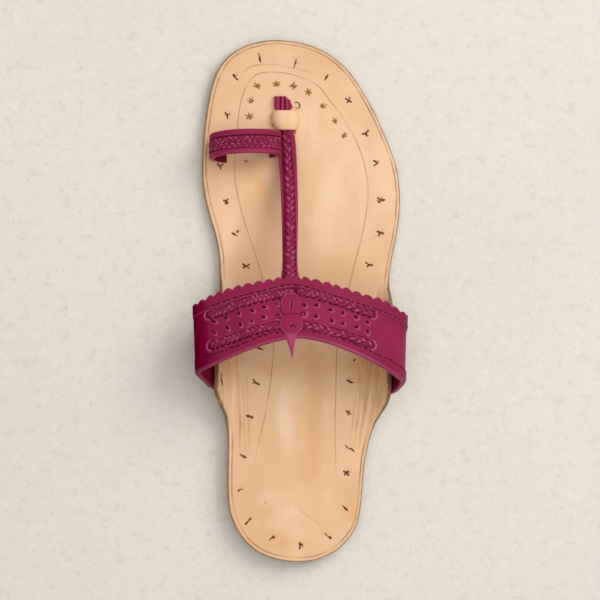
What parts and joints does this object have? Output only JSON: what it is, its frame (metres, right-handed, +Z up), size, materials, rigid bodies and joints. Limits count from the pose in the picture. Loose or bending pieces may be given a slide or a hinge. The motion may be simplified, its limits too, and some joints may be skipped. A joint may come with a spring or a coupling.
{
  "type": "toe-loop leather sandal",
  "caption": "Flat open sandal for the right foot: leather sole turned up into ears at the waist, arched instep band, narrow toe strap and big-toe loop.",
  "frame": {"origin": "on the ground, below the middle of the sandal's bounding box", "axes": "+Y towards the toe, +Z up, +X towards the outer (lateral) side of this right-foot sandal"},
  "size_m": [0.1037, 0.2575, 0.0607],
  "materials": {
    "insole": "smooth natural tan leather, burnished edge",
    "bridge": "natural tan leather",
    "sole": "brown sole leather",
    "heel": "stacked brown sole leather",
    "upper": "dyed wine-red leather, semi-gloss",
    "ornament": "dyed wine-red leather, semi-gloss"
  },
  "bodies": {
    "root": {"insole": "insole", "strap_bridge": "bridge", "outsole": "sole", "heel_lift": "heel", "upper": "upper", "ornament": "ornament"}
  },
  "joints": []
}
